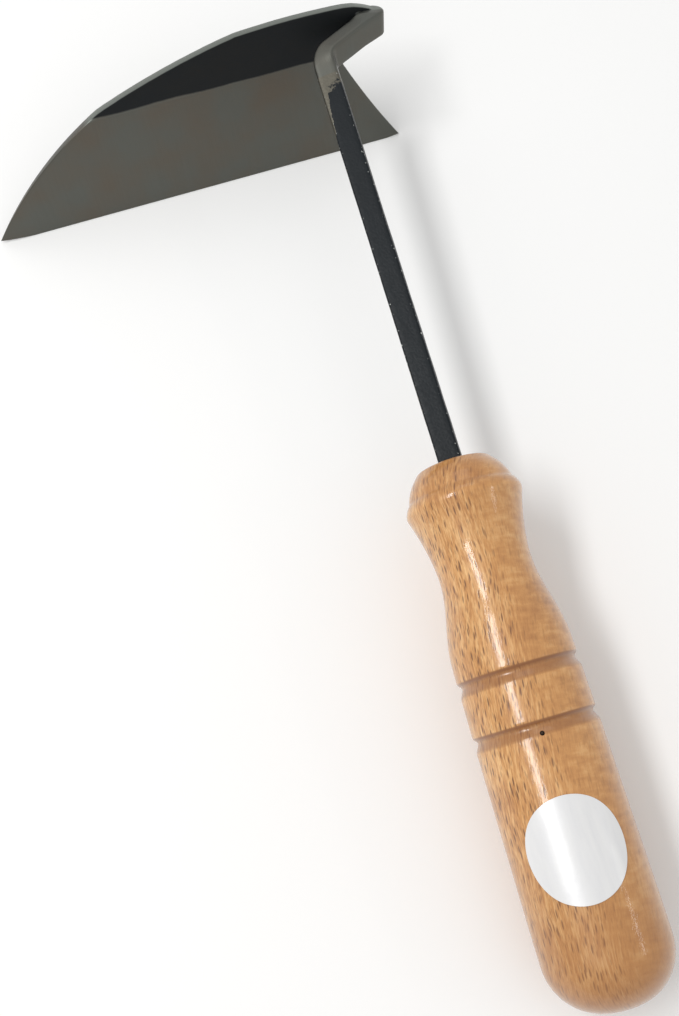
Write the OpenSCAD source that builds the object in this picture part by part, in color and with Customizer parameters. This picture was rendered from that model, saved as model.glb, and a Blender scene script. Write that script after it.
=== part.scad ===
/* [Blade] */
// Length of the blade from the heel corner to the tip
blade_len = 122.2; // [100:0.2:148]
// Height of the blade from the cutting edge to the top of the spine
blade_h = 43.6; // [41:0.2:53]
// Thickness of the blade at the spine
blade_t = 3; // [2.4:0.1:3.6]
// Thickness left at the cutting edge
edge_t = 0.4; // [0.2:0.1:0.7]
// Width of the ground bevel, from the cutting edge up the front face
bevel_w = 30; // [22:0.5:34]
// How far the two ends of the cutting edge curl up
edge_curl = 1; // [0.4:0.1:2]
// Angle between the blade and the ground when the hoe lies at rest
blade_lean = 65; // [58:1:72]
// Turn of the tip of the blade towards the handle, from square to the shank
blade_turn = 1.5; // [0:0.5:6]

/* [Edge steel] */
// Width of the hard steel strip on the flat back of the blade
steel_w = 15; // [10:0.5:20]
// Thickness of the hard steel strip
steel_t = 1; // [0.8:0.1:1.3]

/* [Neck] */
// Height of the neck strip, along the fold
neck_h = 6.8; // [5:0.1:8.2]
// Thickness of the neck strip, across its narrow face
neck_t = 4.8; // [4:0.1:5.6]
// Length of the neck from the inner corner of the fold to the middle of the bend
neck_len = 17.8; // [16:0.1:24]
// Angle that the neck makes with the front face of the blade
fold_angle = 31; // [28:1:40]
// Radius on the outside of the fold
fold_r = 3; // [2.6:0.1:3.6]
// Height of the lower end of the fold above the cutting edge
fold_up = 33.3; // [30:0.1:34]
// Lean of the fold line from square to the cutting edge
fold_slant = 6; // [0:1:10]
// Fall of the neck on its way from the fold to the bend, in degrees
neck_fall = 11; // [4:1:15]
// Radius of the bend at the middle of the bar
bend_r = 5.6; // [5:0.1:8]
// Straight length of the neck after the bend, up to the weld with the shank
neck_stub = 3; // [2:0.5:8]

/* [Shank] */
// Length of bar from the middle of the bend to the top of the handle
shank_len = 118.3; // [90:0.1:150]
// Width of the front face of the shank
shank_w = 5.9; // [5:0.1:7.1]
// Depth of the shank, front to back
shank_t = 5.4; // [4.6:0.1:6.4]
// Turn of the shank about its own length, from the faces of the neck, at the weld
shank_roll = 4; // [0:1:8]
// Length of the tang inside the handle
tang_len = 78; // [73:1:95]
// Width of the tang at its end
tang_end_w = 3.2; // [2.8:0.1:4]
// Depth of the tang at its end
tang_end_t = 3; // [2.6:0.1:3.8]

/* [Handle] */
// Length of the handle
handle_len = 129.6; // [116:0.2:160]
// Diameter at the thickest place of the grip
grip_d = 30.6; // [27:0.2:36]
// Diameter just below the lower groove
band_d = 30; // [27:0.2:34]
// Diameter of the bulge near the top
bulge_d = 29.4; // [26:0.2:34]
// Diameter of the waist
waist_d = 23; // [20:0.1:25]
// Diameter of the flat top face
top_d = 18.6; // [14:0.2:20]
// Radius on the edge of the butt
butt_r = 12.5; // [9:0.5:13]
// Distance of the bulge below the top of the handle
bulge_at = 9; // [8:0.1:11]
// Distance of the waist below the top of the handle
waist_at = 26.8; // [24:0.2:29]
// How quickly the handle narrows from the bulge to the waist; 1 is a plain cone
waist_power = 1.7; // [1.3:0.1:2.2]
// Distance of the end of the waist curve below the top of the handle
shoulder_at = 48.2; // [46:0.2:49]
// Distance of the upper groove below the top of the handle
groove1_at = 51.8; // [51:0.1:54]
// Distance of the lower groove below the top of the handle
groove2_at = 64.9; // [62:0.1:67]
// Width of a groove along the handle
groove_w = 3.2; // [2.4:0.1:4]
// Depth of a groove
groove_d = 1.1; // [0.6:0.1:1.4]
// Share of the groove width that is taken by its steep upper wall
groove_steep = 0.28; // [0.2:0.02:0.5]

/* [Pin and label] */
// Diameter of the pin through the tang
pin_d = 1; // [0.8:0.1:1.8]
// Length of the pin
pin_len = 23; // [18:0.5:26]
// Depth of the pin end below the surface of the groove
pin_sink = 0.3; // [0.1:0.1:0.8]
// Turn of the pin round the handle from straight up
pin_turn = 6; // [0:1:14]
// Diameter of the round label
label_d = 23.6; // [18:0.2:28]
// Thickness of the label
label_t = 0.2; // [0.15:0.05:0.4]
// Distance of the middle of the label below the top of the handle
label_at = 93.4; // [87:0.1:99]
// Turn of the label round the handle from straight up
label_turn = 8; // [0:1:20]

/* [Clearances] */
// Gap between the tang and its hole, on each side
tang_gap = 0.15; // [0.1:0.05:0.3]
// Air left in the hole past the end of the tang
tang_end_gap = 2; // [1:0.5:4]
// Gap between the pin and its hole, on the radius
pin_gap = 0.05; // [0.03:0.01:0.1]
// Glue line between the label and the handle
label_gap = 0.05; // [0.02:0.01:0.1]

/* [Hidden] */
cut_over = 2;
lap = 0.2;
top_round = 0.6;
bulge_round = 1;
band_rise = 0.3;
cone_crown = 0.5;
arc_steps = 14;
round_fn = 96;

// Vectors
function unit(v) = v / norm(v);
function turned(v, k, a) = v * cos(a) + cross(k, v) * sin(a) + k * (k * v) * (1 - cos(a));

// Points of an arc of given rise between two points; the rise is to the left of the way from p to q
function bow(p, q, rise) =
    let (half = norm(q - p) / 2,
         r = (half * half + rise * rise) / (2 * abs(rise)),
         along = unit(q - p),
         left = [-along.y, along.x] * sign(rise),
         c = (p + q) / 2 - left * (r - abs(rise)),
         sweep = asin(half / r))
    [for (i = [0 : arc_steps - 1])
        let (a = -sweep + 2 * sweep * i / arc_steps)
        c + r * (sin(a) * along + cos(a) * left)];

// Blade outline: x runs from the heel to the tip, y from the cutting edge to the spine
heel_rise = 0.4 * edge_curl;
heel_flat = 4;
fold_from_heel = 0.8;
notch_low = 6.1;
pin_share = 0.88;
tip_flat = 0.92 * blade_len;
spine_knee = [0.688 * blade_len, 0.735 * blade_h];
spine_corner = [0.35 * blade_len, 0.981 * blade_h];
spine_end = [11.8, 0.984 * blade_h];
notch = [14.2, fold_up - notch_low];
fold_along = [cos(fold_slant), sin(fold_slant)];
fold_line = [-sin(fold_slant), cos(fold_slant)];
fold_foot = [fold_from_heel + neck_h * sin(fold_slant), fold_up];
tab_low = fold_foot + fold_r * fold_along;
tab_high = tab_low + neck_h * fold_line;
blade_outline = concat(
    [[heel_flat, 0]],
    bow([tip_flat, 0], [blade_len, edge_curl], -0.15 * edge_curl),
    bow([blade_len, edge_curl], spine_knee, -2.6),
    bow(spine_knee, spine_corner, -0.95),
    bow(spine_corner, spine_end, -0.5),
    bow(spine_end, tab_high, -0.4),
    [tab_high],
    bow(tab_low, notch, 1.6),
    bow(notch, [0, heel_rise], 0.5),
    [[0, heel_rise]]);

// Resting place of the blade: heel corner over the world origin, edge on the ground
blade_u = [-cos(blade_turn), -sin(blade_turn), 0];
blade_level = [-sin(blade_turn), cos(blade_turn), 0];
blade_w = cos(blade_lean) * blade_level + sin(blade_lean) * [0, 0, 1];
blade_back = cross(blade_u, blade_w);
function on_blade(p) = p.x * blade_u + p.y * blade_w;

// Fold: its own axes, and the inner corner where the neck leaves the front face
fold_x = fold_along.x * blade_u + fold_along.y * blade_w;
fold_y = -blade_back;
fold_z = fold_line.x * blade_u + fold_line.y * blade_w;
fold_o = on_blade(fold_foot);
fold_in = fold_r - (cos(fold_angle) * (fold_r - blade_t) - neck_t + fold_r) / sin(fold_angle);
neck_out2 = [-sin(fold_angle), cos(fold_angle)];
neck_mid2 = [fold_in, blade_t] + neck_out2 * neck_t / 2;

// Neck: unit vectors along it, out of its wide face and up its height
neck_flat = cos(fold_angle) * fold_x + sin(fold_angle) * fold_y;
neck_dir = cos(neck_fall) * neck_flat - sin(neck_fall) * fold_z;
neck_out = neck_out2.x * fold_x + neck_out2.y * fold_y;
neck_up = cross(neck_dir, neck_out) * -1;
neck_start = fold_o + neck_mid2.x * fold_x + neck_mid2.y * fold_y + neck_h / 2 * fold_z;
bend_at = neck_start + neck_len * neck_dir;

// Shank: it lies in the Y direction and falls until the round of the butt rests on the ground
butt_flat = grip_d / 2 - butt_r;
butt_far = shank_len + handle_len - butt_r;
shank_fall = asin((bend_at.z - butt_r) / norm([butt_far, butt_flat])) - atan(butt_flat / butt_far);
shank_dir = [0, -cos(shank_fall), -sin(shank_fall)];
bend_k = unit(cross(neck_dir, shank_dir));
bend_angle = acos(neck_dir * shank_dir);
bend_tan = bend_r * tan(bend_angle / 2);
bend_out = cross(neck_dir, bend_k);
bend_c = bend_at - bend_tan * neck_dir - bend_r * bend_out;
bent_out = turned(neck_out, bend_k, bend_angle);
shank_out = turned(bent_out, shank_dir, -shank_roll);
weld_at = bend_tan + neck_stub;
axis_up = [0, -sin(shank_fall), cos(shank_fall)];

// The origin is under the middle of the whole hoe
blade_far = max([for (p = blade_outline) on_blade(p).y]);
ground_mid = [blade_len * blade_u.x / 2,
    (blade_far + bend_at.y + (shank_len + handle_len) * shank_dir.y) / 2,
    0];

// Handle profile: x is the radius, y the distance below the top of the handle
bulge = [bulge_d / 2, bulge_at];
waist = [waist_d / 2, waist_at];
shoulder = [band_d / 2 - band_rise, shoulder_at];
bulge_low = bulge.y + bulge_round;
cone_top = [top_d / 2 + top_round, 1.4 * top_round];
cone_low = [bulge.x - 1.4 * bulge_round, bulge.y - 2 * bulge_round];
grip_at = handle_len - butt_r - 8;
function band_r(t) = band_d / 2 - band_rise * (groove2_at + groove_w - t) / (groove2_at + groove_w - shoulder_at);
function neck_in(x) = waist.x + (bulge.x - waist.x) * pow(1 - x, waist_power);
function swell(x) = waist.x + (shoulder.x - waist.x) * (1 - cos(180 * x)) / 2;
function grip_r(t) =
    let (low = groove2_at + groove_w)
    band_d / 2 + (grip_d - band_d) / 2 * (t - low) / (grip_at - low);
function groove(t0) = [
    [band_r(t0), t0],
    [band_r(t0) - groove_d, t0 + groove_steep * groove_w],
    [band_r(t0 + groove_w), t0 + groove_w]];
handle_profile = concat(
    [[0, 0]],
    bow([top_d / 2 - top_round, 0], cone_top, -0.3 * top_round),
    bow(cone_top, cone_low, -cone_crown),
    bow(cone_low, [bulge.x, bulge_low], -0.3 * bulge_round),
    [for (i = [0 : arc_steps - 1])
        let (x = i / arc_steps)
        [neck_in(x), bulge_low + (waist.y - bulge_low) * x]],
    [for (i = [0 : arc_steps])
        let (x = i / arc_steps)
        [swell(x), waist.y + (shoulder.y - waist.y) * x]],
    groove(groove1_at),
    groove(groove2_at),
    [[grip_d / 2, grip_at]],
    [for (i = [0 : arc_steps])
        let (a = 90 * i / arc_steps)
        [butt_flat + butt_r * cos(a), handle_len - butt_r + butt_r * sin(a)]],
    [[0, handle_len]]);

// Pin: across the lower groove, on its long slope
pin_at = groove2_at + pin_share * groove_w;
groove_rest = (1 - pin_share) / (1 - groove_steep) * groove_d;
pin_top = band_r(groove2_at + groove_w) - groove_rest - pin_sink;

module place(o, x, y, z) {
    multmatrix([
        [x.x, y.x, z.x, o.x],
        [x.y, y.y, z.y, o.y],
        [x.z, y.z, z.z, o.z],
        [0, 0, 0, 1]])
    children();
}

module on_ground() {
    translate(-ground_mid) children();
}

module in_blade() {
    on_ground() place([0, 0, 0], blade_u, blade_w, blade_back) children();
}

module in_handle(turn) {
    side = cross(axis_up, shank_dir);
    on_ground()
    place(bend_at + shank_len * shank_dir, side, axis_up, shank_dir)
    rotate([0, 0, turn])
    children();
}

module in_shank(out) {
    on_ground() place(bend_at, out, cross(shank_dir, out), shank_dir) children();
}

// Ground away from the front face: a wedge that leaves edge_t at the cutting edge
module bevel_cut() {
    translate([-cut_over, 0, 0])
    rotate([90, 0, 90])
    linear_extrude(blade_len + 2 * cut_over)
    polygon([
        [-cut_over, -edge_t],
        [0, -edge_t],
        [bevel_w, -blade_t],
        [bevel_w, -blade_t - cut_over],
        [-cut_over, -blade_t - cut_over]]);
}

module plate() {
    translate([0, 0, -blade_t]) linear_extrude(blade_t) polygon(blade_outline);
}

// The layer on the back of the blade that the hard steel fills
module steel_layer() {
    translate([-cut_over, -cut_over, -steel_t])
    cube([blade_len + 2 * cut_over, steel_w + cut_over, steel_t + cut_over]);
}

module fold_corner() {
    on_ground()
    place(fold_o, fold_x, fold_y, fold_z)
    linear_extrude(neck_h)
    polygon(concat(
        [for (i = [0 : arc_steps])
            let (a = 270 - i * (180 - fold_angle) / arc_steps)
            [fold_r + fold_r * cos(a), fold_r + fold_r * sin(a)]],
        [[fold_in, blade_t] + neck_out2 * neck_t],
        [[fold_in, blade_t]],
        [[fold_in, 0]]));
}

module neck_bar() {
    on_ground()
    place(neck_start, neck_out, neck_up, neck_dir)
    translate([-neck_t / 2, -neck_h / 2, -1])
    cube([neck_t, neck_h, neck_len - bend_tan + 1 + lap]);
}

module neck_bend() {
    out2 = [neck_out * bend_out, neck_out * bend_k] * neck_t / 2;
    up2 = [neck_up * bend_out, neck_up * bend_k] * neck_h / 2;
    mid2 = [bend_r, 0];
    on_ground()
    place(bend_c, bend_out, neck_dir, bend_k)
    rotate_extrude(angle = bend_angle, $fn = round_fn)
    polygon([mid2 + out2 + up2, mid2 - out2 + up2, mid2 - out2 - up2, mid2 + out2 - up2]);
}

module neck_end() {
    in_shank(bent_out)
    translate([-neck_t / 2, -neck_h / 2, bend_tan - lap])
    cube([neck_t, neck_h, neck_stub + lap]);
}

module blade_body() {
    color("dimgray") {
        in_blade() difference() {
            plate();
            bevel_cut();
            steel_layer();
        }
        fold_corner();
        neck_bar();
        neck_bend();
        neck_end();
    }
}

module edge_steel() {
    color("silver")
    in_blade() difference() {
        intersection() {
            plate();
            steel_layer();
        }
        bevel_cut();
    }
}

// Bar from the weld to the handle, and the tang that tapers both ways inside it
module bar_side(w, w_end, grow, start, over) {
    polygon([
        [-w / 2 - grow, start],
        [w / 2 + grow, start],
        [w / 2 + grow, shank_len],
        [w_end / 2 + grow, shank_len + tang_len + over],
        [-w_end / 2 - grow, shank_len + tang_len + over],
        [-w / 2 - grow, shank_len]]);
}

module bar(grow, start, over) {
    wide = shank_w + shank_t;
    intersection() {
        rotate([90, 0, 0])
        translate([0, 0, -wide / 2])
        linear_extrude(wide)
        bar_side(shank_w, tang_end_w, grow, start, over);
        rotate([90, 0, 90])
        translate([0, 0, -wide / 2])
        linear_extrude(wide)
        bar_side(shank_t, tang_end_t, grow, start, over);
    }
}

module pin_shape(grow, top) {
    in_handle(pin_turn)
    translate([0, pin_top + top, pin_at])
    rotate([90, 0, 0])
    cylinder(h = pin_len + top + grow, d = pin_d + 2 * grow, $fn = 32);
}

module shank() {
    color("darkslategray")
    difference() {
        in_shank(shank_out) bar(0, weld_at, 0);
        pin_shape(pin_gap, cut_over);
    }
}

module handle() {
    color("burlywood")
    difference() {
        in_handle(0) rotate_extrude($fn = round_fn) polygon(handle_profile);
        in_shank(shank_out) bar(tang_gap, shank_len - cut_over, tang_end_gap);
        pin_shape(pin_gap, cut_over);
    }
}

module tang_pin() {
    color("gray") pin_shape(0, 0);
}

// Outline of the label seen from straight above it: a disc laid round the grip
label_r = grip_r(label_at);
label_outline = [for (i = [0 : round_fn - 1])
    let (a = 360 * i / round_fn,
         x = label_d / 2 * cos(a))
    [label_r * sin(x / label_r * 180 / PI), label_d / 2 * sin(a)]];

module label() {
    t0 = label_at - label_d / 2 - 1;
    t1 = label_at + label_d / 2 + 1;
    color("white")
    intersection() {
        in_handle(0)
        rotate_extrude($fn = round_fn)
        polygon([
            [grip_r(t0) + label_gap, t0],
            [grip_r(t0) + label_gap + label_t, t0],
            [grip_r(t1) + label_gap + label_t, t1],
            [grip_r(t1) + label_gap, t1]]);
        in_handle(label_turn)
        translate([0, 0, label_at])
        rotate([-90, 0, 0])
        linear_extrude(grip_d)
        polygon(label_outline);
    }
}

blade_body();
edge_steel();
shank();
handle();
tang_pin();
label();
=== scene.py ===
import bpy
import bmesh
import math
from mathutils import Matrix, Vector, noise


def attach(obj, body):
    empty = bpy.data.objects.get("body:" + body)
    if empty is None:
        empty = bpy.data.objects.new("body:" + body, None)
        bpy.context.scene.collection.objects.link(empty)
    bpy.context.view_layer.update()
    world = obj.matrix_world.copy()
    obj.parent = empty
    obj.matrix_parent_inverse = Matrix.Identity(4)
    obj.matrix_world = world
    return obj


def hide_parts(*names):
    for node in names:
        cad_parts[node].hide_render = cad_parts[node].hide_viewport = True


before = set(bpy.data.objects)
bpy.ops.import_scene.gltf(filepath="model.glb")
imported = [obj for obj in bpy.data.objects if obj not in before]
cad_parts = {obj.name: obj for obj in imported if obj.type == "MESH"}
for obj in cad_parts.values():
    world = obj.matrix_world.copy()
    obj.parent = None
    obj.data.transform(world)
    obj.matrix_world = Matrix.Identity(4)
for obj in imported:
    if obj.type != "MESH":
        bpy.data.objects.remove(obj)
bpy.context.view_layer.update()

scene = bpy.context.scene
mm = 0.001


# camera, floor and light

view = {
    "place": (-10.52, -96.46, 298.11),   # mm
    "turn": (18.97, 1.163, -15.79),      # degrees
    "sensor": 36.0,                      # mm, upright
    "lens": 41.56,                       # mm
    "near": 0.01,                        # m
}

camera = bpy.data.objects.new("camera", bpy.data.cameras.new("camera"))
camera.location = Vector(view["place"]) * mm
camera.rotation_euler = [math.radians(a) for a in view["turn"]]
camera.data.sensor_fit = "VERTICAL"
camera.data.sensor_height = view["sensor"]
camera.data.lens = view["lens"]
camera.data.clip_start = view["near"]
scene.collection.objects.link(camera)
scene.camera = camera
print("camera ready")


def toLinear(hexColour):
    # sRGB hex to the linear colour that the nodes want
    parts = [int(hexColour[i:i + 2], 16) / 255 for i in (1, 3, 5)]
    low = [p / 12.92 if p <= 0.04045 else ((p + 0.055) / 1.055) ** 2.4 for p in parts]
    return (*low, 1.0)


def addNode(tree, kind, inputs=None, **settings):
    # one node, its properties, and its inputs as values or as sockets to link
    node = tree.nodes.new(kind)
    for name, value in settings.items():
        setattr(node, name, value)
    for key, value in (inputs or {}).items():
        if isinstance(value, bpy.types.NodeSocket):
            tree.links.new(value, node.inputs[key])
        else:
            node.inputs[key].default_value = value
    return node


def setStops(ramp, stops):
    # colour stops of a ColorRamp node: (place, hex or grey)
    bar = ramp.color_ramp
    while len(bar.elements) > 2:
        bar.elements.remove(bar.elements[-1])
    while len(bar.elements) < len(stops):
        bar.elements.new(0.5)
    for stop, (place, tone) in zip(bar.elements, stops):
        stop.position = place
        stop.color = toLinear(tone) if isinstance(tone, str) else (tone, tone, tone, 1)


def newMaterial(name):
    material = bpy.data.materials.new(name)
    material.use_nodes = True
    tree = material.node_tree
    return material, tree, tree.nodes["Principled BSDF"]


studio = {
    "floorHex": "#FBFBFA",
    "floorRough": 0.9,
    "floorSpecular": 0.1,
    "floorSize": 6.0,                    # m
    "worldHex": "#FFFFFF",
    "worldPower": 0.67,
    "lamps": [                           # name, place m, aim m, size m, watts
        ("key", (-0.42, 0.09, 0.80), (0.03, 0.02, 0.03), (0.62, 0.16), 3.5),
        ("strip", (0.75, -0.35, 0.57), (0.04, -0.12, 0.02), (0.16, 0.04), 0.12),
        ("back", (0.10, 0.90, 0.80), (0.03, 0.08, 0.03), (0.60, 0.40), 0.5),
    ],
}

floorMesh = bpy.data.meshes.new("floor")
half = studio["floorSize"] / 2
floorCorners = [(-half, -half, 0), (half, -half, 0), (half, half, 0), (-half, half, 0)]
floorMesh.from_pydata(floorCorners, [], [(0, 1, 2, 3)])
floor = bpy.data.objects.new("floor", floorMesh)
scene.collection.objects.link(floor)
matteWhite, tree, shader = newMaterial("matte_paper_sweep")   # paper backdrop: even and without gloss
shader.inputs["Base Color"].default_value = toLinear(studio["floorHex"])
shader.inputs["Roughness"].default_value = studio["floorRough"]
shader.inputs["Specular IOR Level"].default_value = studio["floorSpecular"]
floorMesh.materials.append(matteWhite)

world = bpy.data.worlds.new("studio")
world.use_nodes = True
world.node_tree.nodes["Background"].inputs["Color"].default_value = toLinear(studio["worldHex"])
world.node_tree.nodes["Background"].inputs["Strength"].default_value = studio["worldPower"]
scene.world = world

for name, place, aim, size, watts in studio["lamps"]:
    lamp = bpy.data.lights.new(name, "AREA")
    lamp.shape = "RECTANGLE"
    lamp.size, lamp.size_y = size
    lamp.energy = watts
    lampObject = bpy.data.objects.new(name, lamp)
    lampObject.location = place
    lampObject.rotation_euler = (Vector(aim) - Vector(place)).to_track_quat("-Z", "Y").to_euler()
    scene.collection.objects.link(lampObject)
scene.view_settings.view_transform = "Standard"
print("studio ready")


# the frame's own axes, in mm, as the construction has them

blade = {
    "length": 122.2,
    "height": 43.6,
    "thick": 3.0,           # at the spine
    "edge": 0.4,            # thickness left at the cutting edge
    "bevel": 30.0,          # width of the ground bevel
    "curl": 1.0,            # lift of the tip and the heel from the straight edge
    "tipStart": 0.92,       # share of the length where the lift starts
    "knee": (0.688, 0.735),      # shares of length and height
    "corner": (0.35, 0.981),
    "spineEnd": (11.8, 0.984),   # mm from the heel, share of the height
    "notch": (14.2, 6.1),        # mm from the heel, mm below the fold
    "heelLift": 0.4,             # share of the curl
    "bows": (-2.6, -0.95, -0.5, -0.4, 1.6, 0.5),   # of each stretch, from the tip round to the heel
    "lean": 65.0,           # degrees from the ground
    "turn": 1.5,            # degrees
    "heel": (61.0791, 113.63, 0.0),
    "steelWidth": 15.0,
    "steelThick": 1.0,
    "rim": 0.35,            # rounding of the rims
    "grid": (2.3, 1.9),     # spacing of the cuts that carry the hammer marks
    "hammer": 0.07,         # depth of the hammer marks
    "hammerSpan": 9.0,
    "nick": 0.06,           # depth of the small marks along the spine
    "nickSpan": 2.5,
}
neck = {
    "tall": 6.8,
    "thick": 4.8,
    "length": 17.8,
    "foldAngle": 31.0,
    "foldRadius": 3.0,
    "foldUp": 33.3,
    "foldSlant": 6.0,
    "foldFromHeel": 0.8,
    "crease": 0.5,          # radius inside the fold
    "fall": 11.0,
    "bendRadius": 5.6,
    "stub": 3.0,
    "rounding": 0.75,
    "inset": 0.04,          # how far the root of the strip lies inside the plate
    "evenFrom": 4.5,        # from here the strip has its full section
    "grind": 0.05,          # depth of the grinder's waves
    "grindSpan": 5.0,
}
shank = {
    "length": 118.3,
    "wide": 5.9,
    "deep": 5.4,
    "roll": 4.0,            # degrees from the faces of the neck
    "tang": 78.0,
    "tangWide": 3.2,
    "tangDeep": 3.0,
    "rounding": 0.55,
    "hammer": 0.05,         # depth of the hammer marks
    "hammerSpan": 7.0,
    "pitting": 0.02,        # depth of the pits in the scale
    "pittingSpan": 1.6,
}
handle = {
    "length": 129.6,
    "grip": 30.6,
    "band": 30.0,
    "bulge": 29.4,
    "waist": 23.0,
    "top": 18.6,
    "topRound": (0.6, 0.84),     # rounding of the top face's rim, out and down
    "coneLow": (1.4, 2.0),       # the cone ends this far inside and above the bulge
    "buttRadius": 12.5,
    "bulgeAt": 9.0,
    "waistAt": 26.8,
    "waistPower": 1.7,
    "shoulderAt": 48.2,
    "grooveAt": (51.8, 64.9),
    "grooveWide": 3.2,
    "grooveDeep": 1.1,
    "grooveSteep": 0.28,    # share of the width taken by the steep side
    "lip": 0.3,             # flat beside each groove
    "taper": 0.3,           # the band is this much thinner at the shoulder, on the radius
    "gripEnd": 8.0,         # the full grip ends this far above the round of the butt
    "segments": 144,
    "ringStep": 0.45,
    "tangAir": 2.0,         # air past the tang in its hole
    "tangGap": 0.15,
}


def rad(angle):
    return math.radians(angle)


def unit(vector):
    return vector.normalized()


bladeU = Vector((-math.cos(rad(blade["turn"])), -math.sin(rad(blade["turn"])), 0))
level = Vector((-math.sin(rad(blade["turn"])), math.cos(rad(blade["turn"])), 0))
bladeW = level * math.cos(rad(blade["lean"])) + Vector((0, 0, math.sin(rad(blade["lean"]))))
bladeBack = bladeU.cross(bladeW)
heel = Vector(blade["heel"])

slant = rad(neck["foldSlant"])
foldAngle = rad(neck["foldAngle"])
foldX = bladeU * math.cos(slant) + bladeW * math.sin(slant)
foldY = -bladeBack
foldZ = bladeW * math.cos(slant) - bladeU * math.sin(slant)
foldFoot = (neck["foldFromHeel"] + neck["tall"] * math.sin(slant), neck["foldUp"])
foldAt = heel + bladeU * foldFoot[0] + bladeW * foldFoot[1]
outward = (-math.sin(foldAngle), math.cos(foldAngle))
pivotA = neck["foldRadius"] - (
    math.cos(foldAngle) * (neck["foldRadius"] - blade["thick"]) - neck["thick"] + neck["foldRadius"]
) / math.sin(foldAngle)

neckFlat = foldX * math.cos(foldAngle) + foldY * math.sin(foldAngle)
neckDir = neckFlat * math.cos(rad(neck["fall"])) - foldZ * math.sin(rad(neck["fall"]))
neckOut = foldX * outward[0] + foldY * outward[1]
neckUp = neckDir.cross(neckOut)
neckStart = (
    foldAt
    + foldX * (pivotA + outward[0] * neck["thick"] / 2)
    + foldY * (blade["thick"] + outward[1] * neck["thick"] / 2)
    + foldZ * neck["tall"] / 2
)
bendAt = neckStart + neckDir * neck["length"]

buttFlat = handle["grip"] / 2 - handle["buttRadius"]
buttFar = shank["length"] + handle["length"] - handle["buttRadius"]
lift = math.asin((bendAt.z - handle["buttRadius"]) / math.hypot(buttFar, buttFlat))
fall = lift - math.atan(buttFlat / buttFar)
shankDir = Vector((0, -math.cos(fall), -math.sin(fall)))
axisUp = Vector((0, -math.sin(fall), math.cos(fall)))
bendK = unit(neckDir.cross(shankDir))
bendAngle = neckDir.angle(shankDir)
bendTan = neck["bendRadius"] * math.tan(bendAngle / 2)
bendOut = neckDir.cross(bendK)
bendCentre = bendAt - neckDir * bendTan - bendOut * neck["bendRadius"]
swing = Matrix.Rotation(bendAngle, 3, bendK)
roll = Matrix.Rotation(-rad(shank["roll"]), 3, shankDir)
shankOut = roll @ (swing @ neckOut)
shankUp = roll @ (swing @ neckUp)
weldAt = bendTan + neck["stub"]
handleTop = bendAt + shankDir * shank["length"]

bladeFrame = Matrix((
    (bladeU.x, bladeW.x, bladeBack.x, heel.x),
    (bladeU.y, bladeW.y, bladeBack.y, heel.y),
    (bladeU.z, bladeW.z, bladeBack.z, heel.z),
    (0, 0, 0, 1)))
shankFrame = Matrix((
    (shankOut.x, shankUp.x, shankDir.x, bendAt.x),
    (shankOut.y, shankUp.y, shankDir.y, bendAt.y),
    (shankOut.z, shankUp.z, shankDir.z, bendAt.z),
    (0, 0, 0, 1)))
handleFrame = Matrix((
    (1, axisUp.x, shankDir.x, handleTop.x),
    (0, axisUp.y, shankDir.y, handleTop.y),
    (0, axisUp.z, shankDir.z, handleTop.z),
    (0, 0, 0, 1)))
print("axes ready")


# mesh helpers, everything in mm until the piece is done

def smoothStep(x):
    x = min(1.0, max(0.0, x))
    return x * x * (3 - 2 * x)


def bow(p, q, rise, steps):
    # points of an arc from p towards q; the rise is to the left of the way
    p, q = Vector(p), Vector(q)
    halfWay = (q - p).length / 2
    radius = (halfWay ** 2 + rise ** 2) / (2 * abs(rise))
    along = unit(q - p)
    left = Vector((-along.y, along.x)) * math.copysign(1, rise)
    centre = (p + q) / 2 - left * (radius - abs(rise))
    sweep = math.asin(halfWay / radius)
    points = []
    for i in range(steps):
        angle = -sweep + 2 * sweep * i / steps
        points.append(centre + (along * math.sin(angle) + left * math.cos(angle)) * radius)
    return points


def newPiece(name, mesh):
    piece = bpy.data.objects.new(name, mesh)
    scene.collection.objects.link(piece)
    return piece


def loft(name, rings):
    # closed skin through rings of equal length, with a cap at each end
    count = len(rings[0])
    points = [tuple(p) for ring in rings for p in ring]
    faces = []
    for r in range(len(rings) - 1):
        for i in range(count):
            j = (i + 1) % count
            faces.append((r * count + i, r * count + j, (r + 1) * count + j, (r + 1) * count + i))
    faces.append(tuple(reversed(range(count))))
    faces.append(tuple((len(rings) - 1) * count + i for i in range(count)))
    mesh = bpy.data.meshes.new(name)
    mesh.from_pydata(points, [], faces)
    shape = bmesh.new()
    shape.from_mesh(mesh)
    bmesh.ops.recalc_face_normals(shape, faces=shape.faces)
    shape.to_mesh(mesh)
    shape.free()
    return newPiece(name, mesh)


def barSection(across, depth, rounding, steps=4, sides=5):
    # rounded rectangle as (x, y, 1 on a corner and 0 on a flat)
    points = []
    corners = ((1, 1, 0), (-1, 1, 90), (-1, -1, 180), (1, -1, 270))
    for k, (sx, sy, start) in enumerate(corners):
        cx = sx * (across / 2 - rounding)
        cy = sy * (depth / 2 - rounding)
        for i in range(steps + 1):
            angle = rad(start + 90 * i / steps)
            points.append((cx + rounding * math.cos(angle), cy + rounding * math.sin(angle), 1.0))
        nx, ny = corners[(k + 1) % 4][:2]
        endX = nx * (across / 2 - rounding) + rounding * math.cos(rad(start + 90))
        endY = ny * (depth / 2 - rounding) + rounding * math.sin(rad(start + 90))
        lastX, lastY = points[-1][0], points[-1][1]
        for i in range(1, sides):
            f = i / sides
            points.append((lastX + (endX - lastX) * f, lastY + (endY - lastY) * f, 0.0))
    return points


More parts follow.
